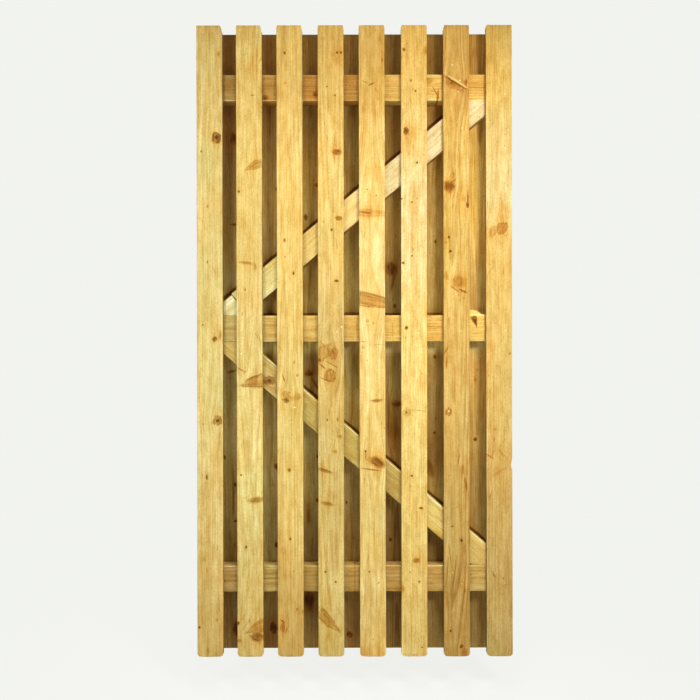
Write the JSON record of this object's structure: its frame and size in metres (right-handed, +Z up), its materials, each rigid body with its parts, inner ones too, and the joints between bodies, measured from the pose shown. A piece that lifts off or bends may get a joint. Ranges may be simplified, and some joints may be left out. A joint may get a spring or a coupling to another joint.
{
  "type": "paling gate",
  "caption": "Double-sided softwood paling gate: upright front and back boards nailed to level rails, with two diagonal braces.",
  "frame": {"origin": "centre of the middle rail's end on the hinge edge", "axes": "+X along the rails towards the latch edge, +Y from the front palings to the back palings, +Z up"},
  "size_m": [0.9, 0.077, 1.8],
  "materials": {
    "front_timber": "sawn, pressure treated",
    "back_timber": "sawn, pressure treated",
    "rail_timber": "sawn, pressure treated",
    "brace_timber": "sawn, pressure treated"
  },
  "bodies": {
    "root": {"paling_1": "front_timber", "paling_2": "front_timber", "paling_3": "front_timber", "paling_4": "front_timber", "paling_5": "front_timber", "paling_6": "front_timber", "paling_7": "front_timber", "paling_8": "front_timber", "back_paling_1": "back_timber", "back_paling_2": "back_timber", "back_paling_3": "back_timber", "back_paling_4": "back_timber", "back_paling_5": "back_timber", "back_paling_6": "back_timber", "back_paling_7": "back_timber", "top_rail": "rail_timber", "middle_rail": "rail_timber", "bottom_rail": "rail_timber", "upper_brace": "brace_timber", "lower_brace": "brace_timber", "brace_block": "brace_timber"}
  },
  "joints": []
}
